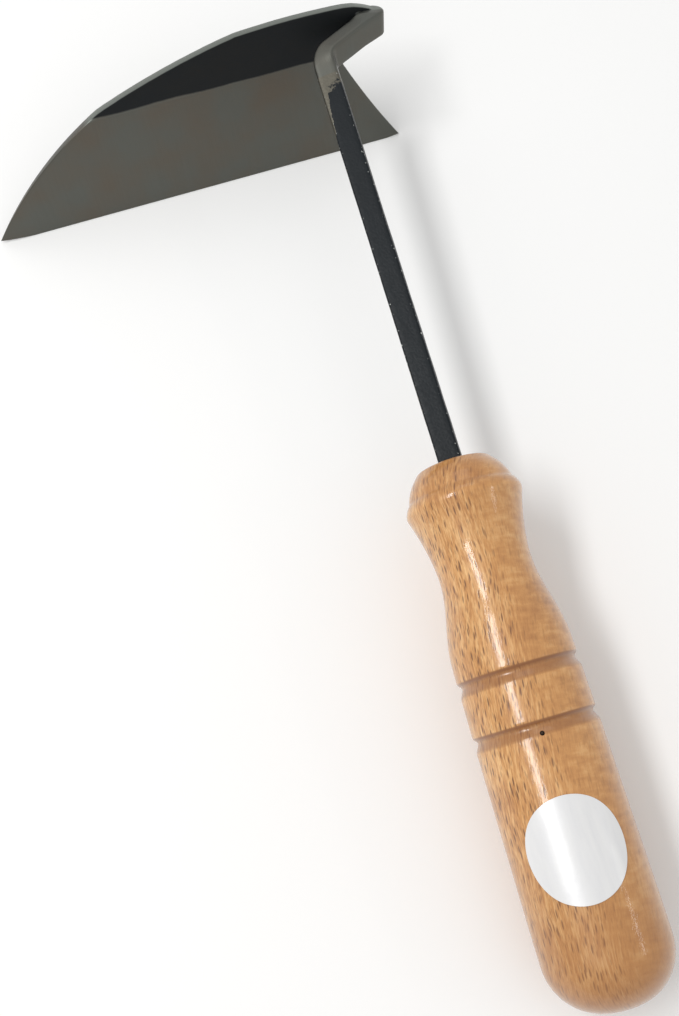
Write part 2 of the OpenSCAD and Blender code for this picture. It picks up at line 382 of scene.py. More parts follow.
def combine(piece, tool, operation):
    # exact boolean with its result kept as the piece's mesh
    cut = piece.modifiers.new("combine", "BOOLEAN")
    cut.operation = operation
    cut.solver = "EXACT"
    cut.object = tool
    depsgraph = bpy.context.evaluated_depsgraph_get()
    result = bpy.data.meshes.new_from_object(piece.evaluated_get(depsgraph))
    piece.modifiers.clear()
    piece.data = result


def discard(piece):
    bpy.data.objects.remove(piece)


def roughen(piece, depth, span, seed):
    # moves each point along its normal by smooth noise, as hammer and grinder leave it
    mesh = piece.data
    offset = Vector((seed, -seed, seed * 0.5))
    normals = [v.normal.copy() for v in mesh.vertices]
    for v, normal in zip(mesh.vertices, normals):
        v.co += normal * depth * noise.noise(v.co / span + offset)


def finish(piece, frameMatrix, material, nodes, sharp=35):
    # local places in mm go into an attribute for the materials, then the piece goes to metres
    mesh = piece.data
    local = mesh.attributes.new("place", "FLOAT_VECTOR", "POINT")
    back = frameMatrix.inverted()
    for v, entry in zip(mesh.vertices, local.data):
        entry.vector = back @ v.co
    mesh.transform(Matrix.Scale(mm, 4))
    mesh.shade_smooth()
    mesh.set_sharp_from_angle(angle=rad(sharp))
    mesh.materials.clear()
    mesh.materials.append(material)
    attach(piece, "root")
    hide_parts(*nodes)


# steel: forge scale, ground bevel and ground neck

steel = {
    "scaleHex": "#101519",       # blue-black magnetite skin
    "scaleWarmHex": "#171817",
    "groundHex": "#5F605B",      # satin of a coarse wheel, slightly warm
    "groundTintHex": "#625D55",
    "topLightHex": "#80857F",         # painted highlight: lighter tone on spine and fold faces that look up
    "scaleRough": (0.34, 0.60),
    "groundRough": (0.30, 0.50),
    "boundary": 30.1,            # mm above the cutting edge
    "boundarySlope": 0.009,      # the line rises a little towards the tip
    "boundaryWave": 0.25,        # mm
    "scratch": 0.22,             # mm between grinding marks, drawn coarser than the real 0.1
    "softEdge": 0.25,            # mm, half the width of the line between scale and ground steel
    "waveScale": 0.09,           # patterns per mm
    "mottleScale": 0.16,
    "tintScale": 0.06,
    "gritScale": 2.2,
    "tint": (0.42, 0.68),        # noise level where a heat tint starts and where it is full
    "bump": (0.35, 0.00006),     # strength, m
    "specular": 0.2,
}


def forgedIron():
    # forged low-carbon iron: black scale where the hammer left it, satin where the wheel took it off
    material, tree, shader = newMaterial("forged_iron_part_ground")
    place = addNode(tree, "ShaderNodeAttribute", attribute_name="place")
    bright = addNode(tree, "ShaderNodeAttribute", attribute_name="bright")
    split = addNode(tree, "ShaderNodeSeparateXYZ", {0: place.outputs["Vector"]})
    wave = addNode(tree, "ShaderNodeTexNoise", {
        "Vector": place.outputs["Vector"], "Scale": steel["waveScale"], "Detail": 4.0,
    })
    shift = addNode(tree, "ShaderNodeMath", {0: wave.outputs["Fac"], 1: 0.5}, operation="SUBTRACT")
    sloped = addNode(tree, "ShaderNodeMath", {
        0: split.outputs["X"], 1: -steel["boundarySlope"], 2: split.outputs["Y"],
    }, operation="MULTIPLY_ADD")
    wavy = addNode(tree, "ShaderNodeMath", {
        0: shift.outputs[0], 1: 4 * steel["boundaryWave"], 2: sloped.outputs[0],
    }, operation="MULTIPLY_ADD")
    ground = addNode(tree, "ShaderNodeMapRange", {
        "Value": wavy.outputs[0], "From Min": steel["boundary"] - steel["softEdge"],
        "From Max": steel["boundary"] + steel["softEdge"], "To Min": 1.0, "To Max": 0.0,
    })
    mask = addNode(tree, "ShaderNodeMath", {
        0: ground.outputs[0], 1: bright.outputs["Fac"],
    }, operation="MAXIMUM")
    # scale
    mottle = addNode(tree, "ShaderNodeTexNoise", {
        "Vector": place.outputs["Vector"], "Scale": steel["mottleScale"], "Detail": 6.0,
    })
    scaleTone = addNode(tree, "ShaderNodeMix", {
        "Factor": mottle.outputs["Fac"], "A": toLinear(steel["scaleHex"]),
        "B": toLinear(steel["scaleWarmHex"]),
    }, data_type="RGBA")
    # ground steel, with faint heat tints
    tint = addNode(tree, "ShaderNodeTexNoise", {
        "Vector": place.outputs["Vector"], "Scale": steel["tintScale"], "Detail": 3.0,
    })
    tintEdge = addNode(tree, "ShaderNodeMapRange", {
        "Value": tint.outputs["Fac"], "From Min": steel["tint"][0], "From Max": steel["tint"][1],
    })
    bevelTone = addNode(tree, "ShaderNodeMix", {
        "Factor": tintEdge.outputs[0], "A": toLinear(steel["groundHex"]),
        "B": toLinear(steel["groundTintHex"]),
    }, data_type="RGBA")
    paintedTopLight = addNode(tree, "ShaderNodeAttribute", attribute_name="paintedTopLight")
    # painted highlight: faces that look up take the lighter tone, as light from above
    groundAndTopLightTone = addNode(tree, "ShaderNodeMix", {
        "Factor": paintedTopLight.outputs["Fac"], "A": bevelTone.outputs[2], "B": toLinear(steel["topLightHex"]),
    }, data_type="RGBA")
    stretch = addNode(tree, "ShaderNodeMapping", {
        "Vector": place.outputs["Vector"], "Scale": (1 / steel["scratch"], 0.05, 0.4),
    })
    marks = addNode(tree, "ShaderNodeTexNoise", {"Vector": stretch.outputs[0], "Scale": 1.0, "Detail": 2.0})
    grit = addNode(tree, "ShaderNodeTexNoise", {
        "Vector": place.outputs["Vector"], "Scale": steel["gritScale"], "Detail": 4.0,
    })
    colour = addNode(tree, "ShaderNodeMix", {
        "Factor": mask.outputs[0], "A": scaleTone.outputs[2], "B": groundAndTopLightTone.outputs[2],
    }, data_type="RGBA")
    roughScale = addNode(tree, "ShaderNodeMapRange", {
        "Value": grit.outputs["Fac"], "To Min": steel["scaleRough"][0],
        "To Max": steel["scaleRough"][1],
    })
    roughGround = addNode(tree, "ShaderNodeMapRange", {
        "Value": marks.outputs["Fac"], "To Min": steel["groundRough"][0],
        "To Max": steel["groundRough"][1],
    })
    rough = addNode(tree, "ShaderNodeMix", {
        "Factor": mask.outputs[0], "A": roughScale.outputs[0], "B": roughGround.outputs[0],
    })
    height = addNode(tree, "ShaderNodeMix", {
        "Factor": mask.outputs[0], "A": grit.outputs["Fac"], "B": marks.outputs["Fac"],
    })
    bump = addNode(tree, "ShaderNodeBump", {
        "Height": height.outputs[0], "Strength": steel["bump"][0], "Distance": steel["bump"][1],
    })
    tree.links.new(colour.outputs[2], shader.inputs["Base Color"])
    tree.links.new(mask.outputs[0], shader.inputs["Metallic"])
    tree.links.new(rough.outputs[0], shader.inputs["Roughness"])
    tree.links.new(bump.outputs[0], shader.inputs["Normal"])
    shader.inputs["Specular IOR Level"].default_value = steel["specular"]
    return material


# blade plate, with its edge steel

def bladeOutline():
    length, height, curl = blade["length"], blade["height"], blade["curl"]
    tip = (length, curl)
    knee = (blade["knee"][0] * length, blade["knee"][1] * height)
    corner = (blade["corner"][0] * length, blade["corner"][1] * height)
    spineEnd = (blade["spineEnd"][0], blade["spineEnd"][1] * height)
    notch = (blade["notch"][0], neck["foldUp"] - blade["notch"][1])
    heelPoint = (0.0, blade["heelLift"] * curl)
    tipBow, backBow, spineBow, tabBow, notchBow, heelBow = blade["bows"]
    foldAlong = Vector((math.cos(slant), math.sin(slant)))
    foldLine = Vector((-math.sin(slant), math.cos(slant)))
    tabLow = Vector(foldFoot) + foldAlong * neck["foldRadius"]
    tabHigh = tabLow + foldLine * neck["tall"]
    return (
        [Vector((4.0, 0.0))]
        + bow((blade["tipStart"] * length, 0), tip, -0.15 * curl, 6)
        + bow(tip, knee, tipBow, 26)
        + bow(knee, corner, backBow, 18)
        + bow(corner, spineEnd, spineBow, 12)
        + bow(spineEnd, tabHigh, tabBow, 6)
        + [tabHigh]
        + bow(tabLow, notch, notchBow, 10)
        + bow(notch, heelPoint, heelBow, 14)
        + [Vector(heelPoint)])


def buildPlate():
    shape = bmesh.new()
    thick = blade["thick"]
    corners = [shape.verts.new((p.x, p.y, 0)) for p in bladeOutline()]
    bottom = shape.faces.new(corners)
    grown = bmesh.ops.extrude_face_region(shape, geom=[bottom])
    for v in [g for g in grown["geom"] if isinstance(g, bmesh.types.BMVert)]:
        v.co.z = -thick
    bmesh.ops.recalc_face_normals(shape, faces=shape.faces)
    rims = [e for e in shape.edges if abs(e.verts[0].co.z - e.verts[1].co.z) < 1e-6]
    bmesh.ops.bevel(shape, geom=rims, offset=blade["rim"], segments=3, profile=0.6, affect="EDGES",
                    clamp_overlap=True)
    stepU, stepW = blade["grid"]   # the odd starts keep the cuts off the outline's corners
    lengths = [x * stepU + 0.7 for x in range(int(blade["length"] / stepU) + 1)]
    heights = [y * stepW + 0.9 for y in range(int(blade["height"] / stepW) + 1)]
    heights += [blade["bevel"] - 0.3, blade["bevel"], blade["bevel"] + 0.3]
    cuts = [(Vector((x, 0, 0)), Vector((1, 0, 0))) for x in lengths]
    cuts += [(Vector((0, y, 0)), Vector((0, 1, 0))) for y in heights]
    for place, normal in cuts:
        everything = shape.verts[:] + shape.edges[:] + shape.faces[:]
        bmesh.ops.bisect_plane(shape, geom=everything, plane_co=place, plane_no=normal, dist=1e-4)
    for v in shape.verts:
        ground = blade["edge"] + (thick - blade["edge"]) * min(1.0, max(0.0, v.co.y) / blade["bevel"])
        v.co.z *= ground / thick
    mesh = bpy.data.meshes.new("plate")
    shape.to_mesh(mesh)
    shape.free()
    return newPiece("plate", mesh)


def hammerPlate(piece):
    # shallow hammer marks on the black face, a flatter wave on the bevel
    for v in piece.data.vertices:
        onFront = -v.co.z / blade["thick"]
        scaleArea = smoothStep((v.co.y - blade["bevel"] + 1) / 4)
        depth = blade["hammer"] * (0.25 + 0.75 * scaleArea)
        push = noise.noise(Vector((v.co.x, v.co.y, 0)) / blade["hammerSpan"] + Vector((3, 7, 1)))
        v.co.z += depth * push * onFront
        edgePush = noise.noise(Vector((v.co.x, v.co.y, 0)) / blade["nickSpan"] + Vector((9, 2, 4)))
        nearTop = smoothStep((v.co.y - 20) / 6)
        v.co.y += blade["nick"] * edgePush * nearTop


def boxPiece(name, low, high):
    shape = bmesh.new()
    bmesh.ops.create_cube(shape, size=1)
    for v in shape.verts:
        v.co = Vector([low[i] + (high[i] - low[i]) * (v.co[i] + 0.5) for i in range(3)])
    mesh = bpy.data.meshes.new(name)
    shape.to_mesh(mesh)
    shape.free()
    return newPiece(name, mesh)


def buildNeck():
    # the folded strip: out of the plate, round the fold, along the neck, round the bend, up to the weld
    rounding = neck["rounding"]
    thick, tall = blade["thick"], neck["tall"]
    inset = neck["inset"]
    turnSteps = 16
    stations = []   # centre, inner-to-outer vector, height vector

    def addFold(inner, outer):
        a = foldAt + foldX * inner[0] + foldY * inner[1] + foldZ * tall / 2
        b = foldAt + foldX * outer[0] + foldY * outer[1] + foldZ * tall / 2
        stations.append(((a + b) / 2, b - a, foldZ * tall))

    crease = neck["crease"]
    reach = crease / math.sin(foldAngle / 2)
    creaseA = pivotA + reach * math.cos(foldAngle / 2)
    creaseB = thick + reach * math.sin(foldAngle / 2)
    radius = neck["foldRadius"]
    for a in (creaseA + 3.0, creaseA + 1.5):
        addFold((a, thick - inset), (a - 2.0, inset))
    for i in range(turnSteps + 1):
        angle = rad(270) - (math.pi - foldAngle) * i / turnSteps
        addFold((creaseA + crease * math.cos(angle), creaseB + crease * math.sin(angle)),
                (radius + radius * math.cos(angle), radius + radius * math.sin(angle)))
    lastCentre, lastThick, lastTall = stations[-1]
    first = neck["evenFrom"]
    for i in range(1, 5):
        f = smoothStep(i / 5)
        centre = neckStart + neckDir * first
        stations.append((lastCentre.lerp(centre, i / 5), lastThick.lerp(neckOut * neck["thick"], f),
                         lastTall.lerp(neckUp * tall, f)))
    straight = neck["length"] - bendTan
    for i in range(5):
        d = first + (straight - first) * i / 4
        stations.append((neckStart + neckDir * d, neckOut * neck["thick"], neckUp * tall))
    bendStart = neckStart + neckDir * straight
    for i in range(1, turnSteps + 1):
        f = i / turnSteps
        turn = Matrix.Rotation(bendAngle * f, 3, bendK)
        lay = turn @ Matrix.Rotation(-rad(shank["roll"]) * smoothStep(f), 3, neckDir)
        wide = neck["thick"] + (shank["wide"] - neck["thick"]) * smoothStep(f)
        deep = tall + (shank["deep"] - tall) * smoothStep(f)
        centre = bendCentre + turn @ (bendStart - bendCentre)
        stations.append((centre, lay @ neckOut * wide, lay @ neckUp * deep))
    for d in (bendTan + neck["stub"] / 2, weldAt):
        stations.append((bendAt + shankDir * d, shankOut * shank["wide"], shankUp * shank["deep"]))
    rings = []
    for centre, across, upward in stations:
        ring = []
        for x, y, onCorner in barSection(across.length, upward.length, rounding):
            ring.append(centre + unit(across) * x + unit(upward) * y)
        rings.append(ring)
    return loft("neck", rings)


plate = buildPlate()
hammerPlate(plate)
layer = boxPiece("layer", (-5, -5, -blade["steelThick"]), (blade["length"] + 5, blade["steelWidth"], 2))
edge = newPiece("edge", plate.data.copy())
combine(edge, layer, "INTERSECT")
combine(plate, layer, "DIFFERENCE")
discard(layer)
plate.data.transform(bladeFrame)
edge.data.transform(bladeFrame)
print("plate cut", len(plate.data.polygons), len(edge.data.polygons))
neckPiece = buildNeck()
roughen(neckPiece, neck["grind"], neck["grindSpan"], seed=11.0)
combine(plate, neckPiece, "UNION")
discard(neckPiece)
print("neck joined", len(plate.data.polygons))


def markBright(piece):
    # bright is 1 on ground or filed faces that the bevel rule does not reach: rims, spine, fold and neck
    # the second attribute is 1 where such a face looks up; there a lighter tone is painted as light from
    # above
    mesh = piece.data
    mesh.attributes.new("bright", "FLOAT", "POINT")
    mesh.attributes.new("paintedTopLight", "FLOAT", "POINT")
    bright, paintedTopLight = mesh.attributes["bright"], mesh.attributes["paintedTopLight"]
    back = bladeFrame.inverted()
    turn = back.to_3x3()
    for v, entry, topLightEntry in zip(mesh.vertices, bright.data, paintedTopLight.data):
        p = back @ v.co
        n = turn @ v.normal
        onNeck = smoothStep((-p.z - blade["thick"] - 0.25) / 0.5)
        aboveBevel = smoothStep((p.y - blade["bevel"] - 1) / 1.5)
        outerFold = smoothStep((3.5 - p.x) / 1.5) * aboveBevel
        onRim = smoothStep((1 - abs(n.z) - 0.35) / 0.4)
        inward = smoothStep((n.x * math.cos(slant) + n.y * math.sin(slant) - 0.15) / 0.25)
        nearCrease = 1 - smoothStep(((v.co - foldAt).dot(neckFlat) - 7) / 4)
        shadow = inward * nearCrease * aboveBevel
        entry.value = max(onNeck, outerFold, onRim) * (1 - shadow)
        # painted light: the lighter tone follows how far the face looks up
        facesUp = smoothStep((v.normal.z - 0.35) / 0.3)
        topLightEntry.value = facesUp * smoothStep((p.y - blade["bevel"] + 1) / 2) * (1 - 0.8 * onNeck)


markBright(plate)
markBright(edge)
ironMaterial = forgedIron()
plate.name = "blade_iron"
edge.name = "blade_edge_steel"
finish(plate, bladeFrame, ironMaterial, ["blade_body"])
finish(edge, bladeFrame, ironMaterial, ["edge_steel"])
print("blade ready")


# shank and tang

barFinish = {
    "polishHex": "#66635A",      # where the weld was ground down
    "polishEnd": 10.2,           # mm past the middle of the bend
    "polishRagged": 2.4,         # mm that the patch's edge wanders
    "stripEnd": 26.0,            # the ground strip along one edge runs out here
    "nickHex": "#C9CCC8",
    "scaleHex": "#0A1116",
    "scalePaleHex": "#11181D",
    "polishSoft": 0.3,           # mm, half the width of the patch's edge
    "polishSkew": 0.5,           # the patch reaches lower on one side
    "strip": (-1.3, -2.9),       # mm across the bar where the strip ends, at its top and at its foot
    "stripRagged": 1.4,
    "chip": (0.635, 0.69),       # noise level where the scale starts to chip and where it is gone
    "rough": (0.28, 0.62),
    "raggedScale": 0.55,         # patterns per mm
    "chipScale": 1.5,
    "mottleScale": 0.22,
    "gritScale": 1.6,
    "bump": (0.5, 0.00012),      # strength, m
    "specular": 0.25,
}


def forgedBar():
    # square bar under blue-black scale, filed bright at the weld and chipped bright along its edges
    material, tree, shader = newMaterial("forged_bar_black_scale")
    place = addNode(tree, "ShaderNodeAttribute", attribute_name="place")
    corner = addNode(tree, "ShaderNodeAttribute", attribute_name="corner")
    split = addNode(tree, "ShaderNodeSeparateXYZ", {0: place.outputs["Vector"]})
    ragged = addNode(tree, "ShaderNodeTexNoise", {
        "Vector": place.outputs["Vector"], "Scale": barFinish["raggedScale"], "Detail": 6.0,
        "Roughness": 0.65,
    })
    shift = addNode(tree, "ShaderNodeMath", {0: ragged.outputs["Fac"], 1: 0.5}, operation="SUBTRACT")
    reach = addNode(tree, "ShaderNodeMath", {
        0: shift.outputs[0], 1: 3 * barFinish["polishRagged"], 2: split.outputs["Z"],
    }, operation="MULTIPLY_ADD")
    skewed = addNode(tree, "ShaderNodeMath", {
        0: split.outputs["X"], 1: barFinish["polishSkew"], 2: reach.outputs[0],
    }, operation="MULTIPLY_ADD")
    polished = addNode(tree, "ShaderNodeMapRange", {
        "Value": skewed.outputs[0], "From Min": barFinish["polishEnd"] - barFinish["polishSoft"],
        "From Max": barFinish["polishEnd"] + barFinish["polishSoft"], "To Min": 1.0, "To Max": 0.0,
    })
    # ground strip along the inner edge of the front face, narrowing to nothing
    stripWidth = addNode(tree, "ShaderNodeMapRange", {
        "Value": split.outputs["Z"], "From Min": barFinish["polishEnd"],
        "From Max": barFinish["stripEnd"], "To Min": barFinish["strip"][0],
        "To Max": barFinish["strip"][1],
    })
    stripEdge = addNode(tree, "ShaderNodeMath", {
        0: shift.outputs[0], 1: barFinish["stripRagged"], 2: split.outputs["X"],
    }, operation="MULTIPLY_ADD")
    besideEdge = addNode(tree, "ShaderNodeMath", {
        0: stripEdge.outputs[0], 1: stripWidth.outputs[0],
    }, operation="LESS_THAN")
    onFront = addNode(tree, "ShaderNodeMapRange", {
        "Value": split.outputs["Y"], "From Min": shank["deep"] / 2 - 0.7,
        "From Max": shank["deep"] / 2 - 0.3,
    })
    strip = addNode(tree, "ShaderNodeMath", {
        0: besideEdge.outputs[0], 1: onFront.outputs[0],
    }, operation="MULTIPLY")
    chipNoise = addNode(tree, "ShaderNodeTexNoise", {
        "Vector": place.outputs["Vector"], "Scale": barFinish["chipScale"], "Detail": 5.0,
    })
    chipWear = addNode(tree, "ShaderNodeMath", {
        0: chipNoise.outputs["Fac"], 1: corner.outputs["Fac"],
    }, operation="MULTIPLY")
    chips = addNode(tree, "ShaderNodeMapRange", {
        "Value": chipWear.outputs[0], "From Min": barFinish["chip"][0],
        "From Max": barFinish["chip"][1],
    })
    ground = addNode(tree, "ShaderNodeMath", {
        0: polished.outputs[0], 1: strip.outputs[0],
    }, operation="MAXIMUM")
    mask = addNode(tree, "ShaderNodeMath", {0: ground.outputs[0], 1: chips.outputs[0]}, operation="MAXIMUM")
    mottle = addNode(tree, "ShaderNodeTexNoise", {
        "Vector": place.outputs["Vector"], "Scale": barFinish["mottleScale"], "Detail": 6.0,
    })
    scaleTone = addNode(tree, "ShaderNodeMix", {
        "Factor": mottle.outputs["Fac"], "A": toLinear(barFinish["scaleHex"]),
        "B": toLinear(barFinish["scalePaleHex"]),
    }, data_type="RGBA")
    barTone = addNode(tree, "ShaderNodeMix", {
        "Factor": mask.outputs[0], "A": scaleTone.outputs[2], "B": toLinear(barFinish["polishHex"]),
    }, data_type="RGBA")
    colour = addNode(tree, "ShaderNodeMix", {
        "Factor": chips.outputs[0], "A": barTone.outputs[2], "B": toLinear(barFinish["nickHex"]),
    }, data_type="RGBA")
    grit = addNode(tree, "ShaderNodeTexNoise", {
        "Vector": place.outputs["Vector"], "Scale": barFinish["gritScale"], "Detail": 6.0,
    })
    rough = addNode(tree, "ShaderNodeMapRange", {
        "Value": grit.outputs["Fac"], "To Min": barFinish["rough"][0], "To Max": barFinish["rough"][1],
    })
    bump = addNode(tree, "ShaderNodeBump", {
        "Height": grit.outputs["Fac"], "Strength": barFinish["bump"][0],
        "Distance": barFinish["bump"][1],
    })
    tree.links.new(colour.outputs[2], shader.inputs["Base Color"])
    tree.links.new(mask.outputs[0], shader.inputs["Metallic"])
    tree.links.new(rough.outputs[0], shader.inputs["Roughness"])
    tree.links.new(bump.outputs[0], shader.inputs["Normal"])
    shader.inputs["Specular IOR Level"].default_value = barFinish["specular"]
    return material


def barRings(grow, start, past, steps):
    rings = []
    tangEnd = shank["length"] + shank["tang"] + past
    places = [start + (shank["length"] - start) * i / steps for i in range(steps)]
    places += [shank["length"] + (tangEnd - shank["length"]) * i / 30 for i in range(31)]
    for d in places:
        f = max(0.0, (d - shank["length"]) / (tangEnd - shank["length"]))
        wide = shank["wide"] + (shank["tangWide"] - shank["wide"]) * f + 2 * grow
        deep = shank["deep"] + (shank["tangDeep"] - shank["deep"]) * f + 2 * grow
        section = barSection(wide, deep, shank["rounding"])
        rings.append([shankFrame @ Vector((x, y, d)) for x, y, onCorner in section])
    return rings


shankPiece = loft("forged_shank", barRings(0, weldAt, 0, 90))
corners = [onCorner for x, y, onCorner in barSection(shank["wide"], shank["deep"], shank["rounding"])]
roughen(shankPiece, shank["hammer"], shank["hammerSpan"], seed=5.0)
roughen(shankPiece, shank["pitting"], shank["pittingSpan"], seed=8.0)
cornerMarks = shankPiece.data.attributes.new("corner", "FLOAT", "POINT")
for i, entry in enumerate(cornerMarks.data):
    entry.value = corners[i % len(corners)]
finish(shankPiece, shankFrame, forgedBar(), ["shank"])
print("shank ready")


# handle

def gripRadius(t):
    low = handle["grooveAt"][1] + handle["grooveWide"]
    high = handle["length"] - handle["buttRadius"] - handle["gripEnd"]
    return handle["band"] / 2 + (handle["grip"] - handle["band"]) / 2 * (t - low) / (high - low)


def bandRadius(t):
    low = handle["grooveAt"][1] + handle["grooveWide"]
    return handle["band"] / 2 - handle["taper"] * (low - t) / (low - handle["shoulderAt"])


def handleProfile():
    # (radius, distance from the top face), from the rim of the top face to the middle of the butt
    bulgeRadius, bulgeLow = handle["bulge"] / 2, handle["bulgeAt"] + 1.0
    waistRadius, waistAt = handle["waist"] / 2, handle["waistAt"]
    shoulderRadius, shoulderAt = handle["band"] / 2 - handle["taper"], handle["shoulderAt"]
    roundOut, roundDown = handle["topRound"]
    coneTop = (handle["top"] / 2 + roundOut, roundDown)
    coneLow = (bulgeRadius - handle["coneLow"][0], handle["bulgeAt"] - handle["coneLow"][1])
    points = [Vector((r, 0)) for r in (2.0, 5.0)]
    points += bow((handle["top"] / 2 - roundOut, 0), coneTop, -0.18, 6)
    points += bow(coneTop, coneLow, -0.5, 20)
    points += bow(coneLow, (bulgeRadius, bulgeLow), -0.3, 12)
    for i in range(40):
        f = i / 40
        radius = waistRadius + (bulgeRadius - waistRadius) * (1 - f) ** handle["waistPower"]
        points.append(Vector((radius, bulgeLow + (waistAt - bulgeLow) * f)))
    for i in range(41):
        f = i / 40
        radius = waistRadius + (shoulderRadius - waistRadius) * (1 - math.cos(math.pi * f)) / 2
        points.append(Vector((radius, waistAt + (shoulderAt - waistAt) * f)))
    for start in handle["grooveAt"]:
        end = start + handle["grooveWide"]
        lowest = start + handle["grooveSteep"] * handle["grooveWide"]
        for t in (start - handle["lip"], start):
            points.append(Vector((bandRadius(t), t)))
        points.append(Vector((bandRadius(start) - handle["grooveDeep"], lowest)))
        for t in (end, end + handle["lip"]):
            points.append(Vector((bandRadius(t), t)))
    buttRadius = handle["buttRadius"]
    buttStart = handle["length"] - buttRadius
    points.append(Vector((handle["grip"] / 2, buttStart - handle["gripEnd"])))
    for i in range(25):
        angle = rad(90 * i / 24)
        radius = buttFlat + buttRadius * math.cos(angle)
        points.append(Vector((radius, buttStart + buttRadius * math.sin(angle))))
    return points


def evenSteps(points, step):
    # the same line with points at an even distance, and its corners rounded as sanding leaves them
    out = [points[0]]
    for a, b in zip(points, points[1:]):
        count = max(1, round((b - a).length / step))
        out += [a.lerp(b, (i + 1) / count) for i in range(count)]
    for again in range(2):
        out = [out[0]] + [(a + 2 * b + c) / 4 for a, b, c in zip(out, out[1:], out[2:])] + [out[-1]]
    return out


def buildHandle():
    rings = []
    for p in evenSteps(handleProfile(), handle["ringStep"]):
        if p.x < 0.3:   # the cap closes the middle
            continue
        ring = []
        for i in range(handle["segments"]):
            angle = 2 * math.pi * i / handle["segments"]
            ring.append(handleFrame @ Vector((p.x * math.cos(angle), p.x * math.sin(angle), p.y)))
        rings.append(ring)
    return loft("beech_handle", rings)


pin = {
    "across": 1.0,
    "length": 23.0,
    "sink": 0.3,
    "turn": 6.0,
    "along": 0.88,          # share of the groove's width
    "gap": 0.05,
    "dome": 0.12,           # the hammered end is rounded off by this much
    "segments": 32,
    "hexes": ("#2B2622", "#4A3A2C"),
    "rustScale": 2.5,       # patterns per mm
    "metallic": 0.7,
    "rough": 0.6,
}
pinAt = handle["grooveAt"][1] + pin["along"] * handle["grooveWide"]
rest = (1 - pin["along"]) / (1 - handle["grooveSteep"]) * handle["grooveDeep"]
pinTop = bandRadius(handle["grooveAt"][1] + handle["grooveWide"]) - rest - pin["sink"]


def pinRings(radius, top, bottom, dome):
    # a round nail across the handle, its end slightly domed by the hammer
    turn = Matrix.Rotation(rad(pin["turn"]), 3, "Z")
    rings = []
    for r, y in ((0.45, 0.0), (0.8, -0.4 * dome), (0.97, -dome), (1.0, -1.6 * dome - 0.05)):
        rings.append((radius * r, top + y))
    rings.append((radius, bottom))
    out = []
    for r, y in rings:
        ring = []
        for i in range(pin["segments"]):
            angle = 2 * math.pi * i / pin["segments"]
            p = turn @ Vector((r * math.cos(angle), y, pinAt + r * math.sin(angle)))
            ring.append(handleFrame @ p)
        out.append(ring)
    return out


beech = {
    "lightHex": "#EBBA7C",
    "midHex": "#CB9152",
    "deepHex": "#9F642F",
    "fleckHex": "#5E3410",       # rays cut across, dark under the lacquer
    # darker tone for end grain and for the painted shade at the butt and lower grip
    "endAndShadeHex": "#A0682F",
    "grooveShadeHex": "#8C5522",      # painted shade in the grooves
    "charHex": "#2A1A10",        # tang hole burned to size
    "fleck": (0.72, 7.0, 4.2),   # mm between rays: across, inward, along
    "fineFleck": (0.42, 5.0, 2.6),
    "streak": 0.50,              # mm between streaks
    "ripple": 1.5,               # mm between ripples
    "pore": 0.12,                # mm, drawn coarser than the real 0.06
    "tilt": 25.0,                # degrees from straight up to the flat-sawn side
    "slope": 6.0,                # degrees between the grain and the axis
    "sway": 2.2,                 # mm that a line of grain wanders
    "wanderScale": 0.045,        # patterns per mm
    "cloudScale": 0.07,
    "boldFleck": (0.18, 0.33, 0.02),     # solid inside, gone outside, share left out
    "fineFleckSize": (0.16, 0.36, 0.05),
    "fineFleckShare": 0.55,      # strength beside the bold flecks
    "fleckShare": 0.85,
    "grooveShadeShare": 0.55,         # painted shade in a groove, and what its steep side adds
    "steepShadeShare": 0.4,
    "charShare": 0.9,
    "poreShare": 0.32,
    "endAndShadeShare": 0.55,
    "lowGrip": (84.0, 116.0),    # mm down the handle where the painted shade towards the butt sets in
    "lowGripShare": 0.5,
    "rough": 0.42,
    "coat": 0.9,
    "coatRough": 0.07,
    "quartered": (0.25, 0.62, 0.2),     # the figure fades from here to here, and this much is left
    "farSide": (-0.97, -0.84, 0.15),    # and again on the side that turns away
    "bump": (0.3, 0.00005),      # strength, m
}


